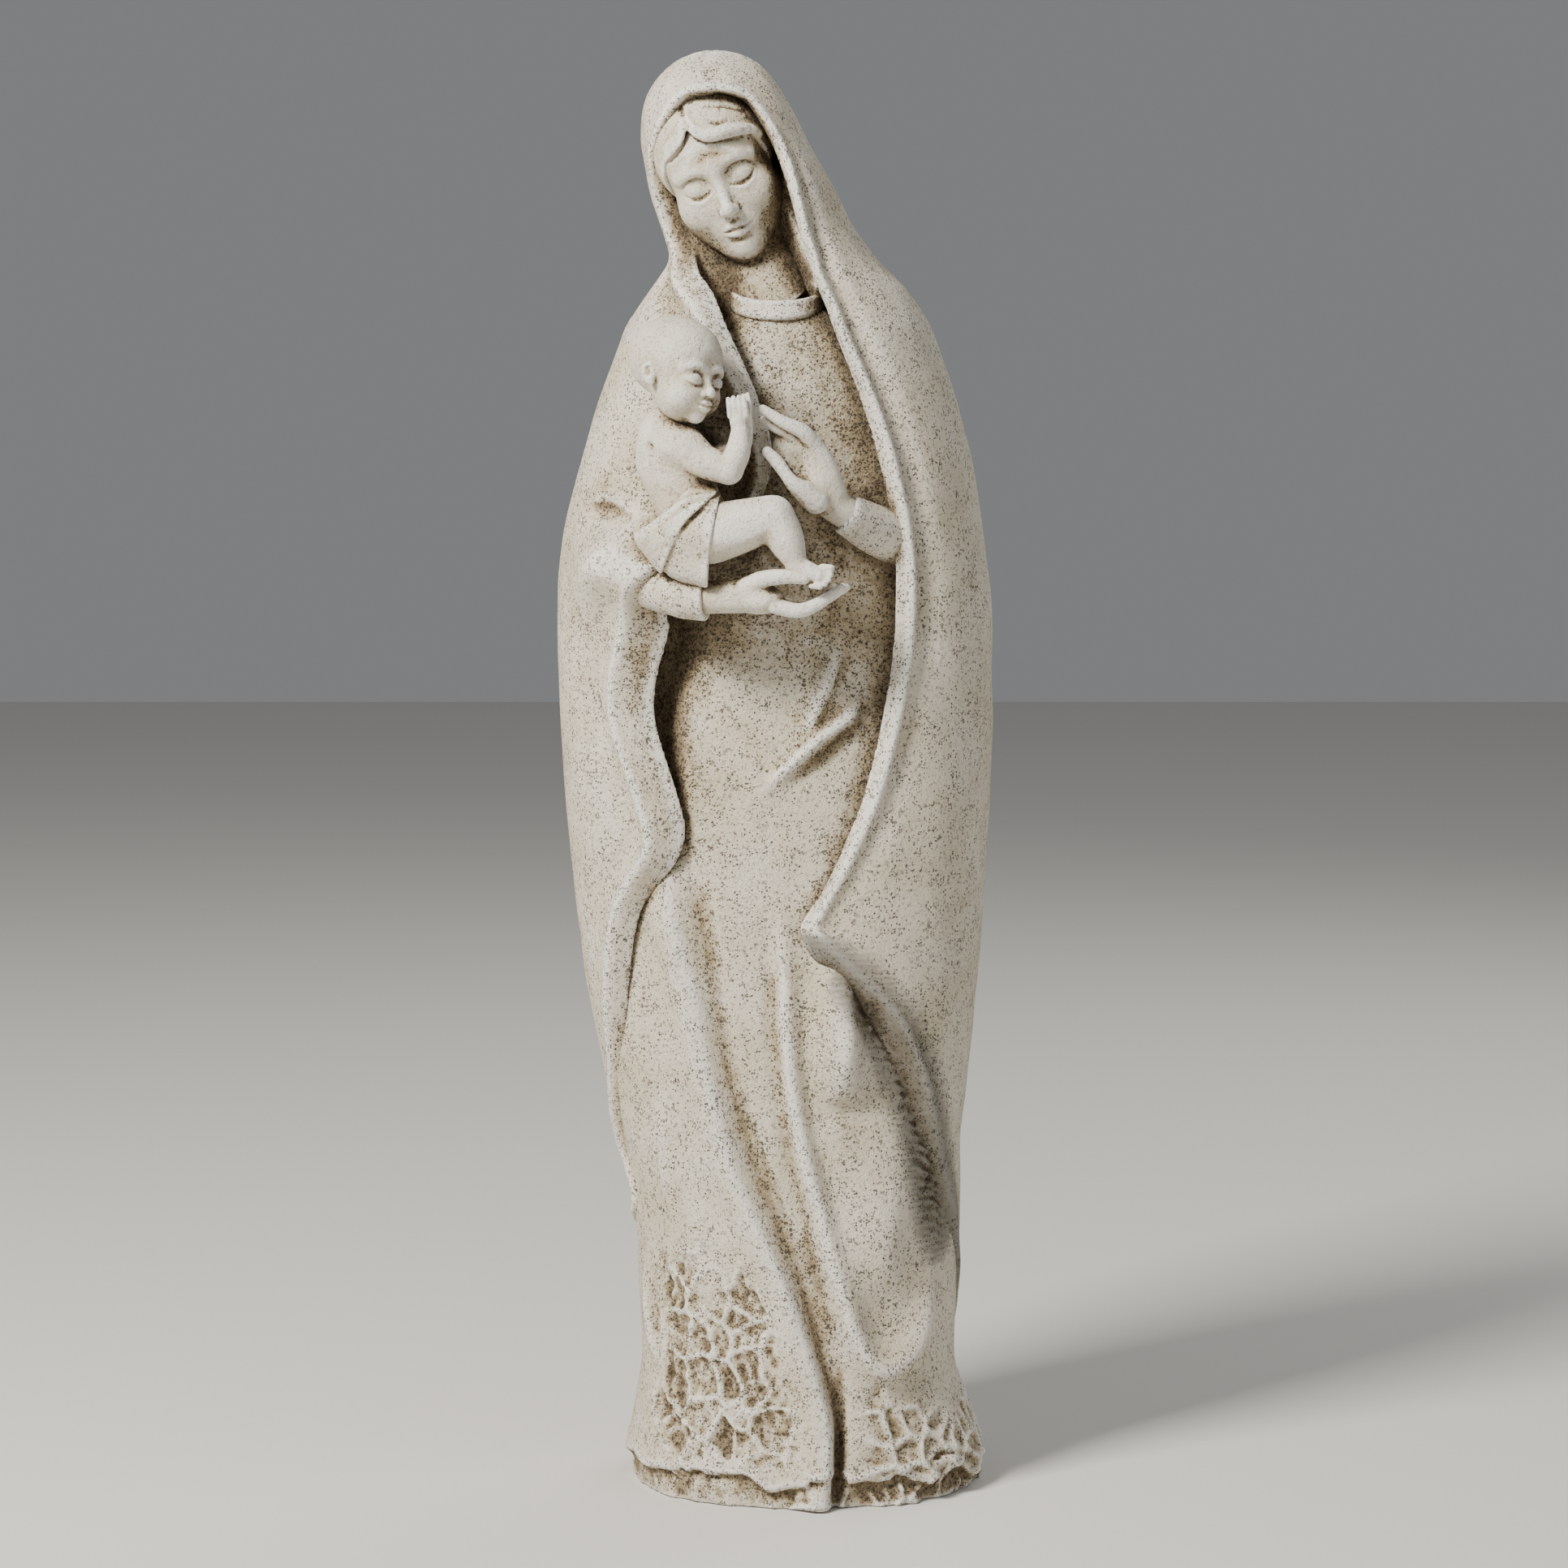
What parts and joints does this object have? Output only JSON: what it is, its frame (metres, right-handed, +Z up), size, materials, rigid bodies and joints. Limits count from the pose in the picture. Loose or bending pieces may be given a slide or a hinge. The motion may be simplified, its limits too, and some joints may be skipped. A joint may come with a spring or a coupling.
{
  "type": "madonna statue",
  "caption": "Standing mother-and-child devotional figure in cast stone, veiled and cloaked, holding a sleeping child, with a closed ballast cavity and a flat underside.",
  "frame": {"origin": "on the flat underside, below the figure's middle", "axes": "+Z up from the underside to the top of the hood; the figure faces -Y; +X is to the viewer's right"},
  "size_m": [0.152, 0.1323, 0.497],
  "materials": {
    "cast_stone": "cream stone-and-resin mix, pitted, with a brown wash left in the recesses",
    "cement": "grey trowelled mortar",
    "dowel_steel": "drawn rod, cut ends",
    "plug_rubber": "matt moulded rubber"
  },
  "bodies": {
    "figure": {"cloak": "cast_stone", "gown": "cast_stone", "collar": "cast_stone", "head": "cast_stone", "hair": "cast_stone", "right_sleeve": "cast_stone", "right_hand": "cast_stone", "left_sleeve": "cast_stone", "left_hand": "cast_stone", "child_head": "cast_stone", "child_body": "cast_stone", "child_right_arm": "cast_stone", "child_left_arm": "cast_stone", "child_right_leg": "cast_stone", "child_wrap": "cast_stone", "base_plate": "cement", "neck_dowel": "dowel_steel", "right_wrist_dowel": "dowel_steel", "left_wrist_dowel": "dowel_steel", "child_dowels": "dowel_steel"},
    "plug": {"fill_plug": "plug_rubber"}
  },
  "joints": [
    {"name": "plug_pull", "type": "slide", "parent": "figure", "child": "plug", "axis": [0, 0, -1], "range_m": [0, 0.02]}
  ]
}
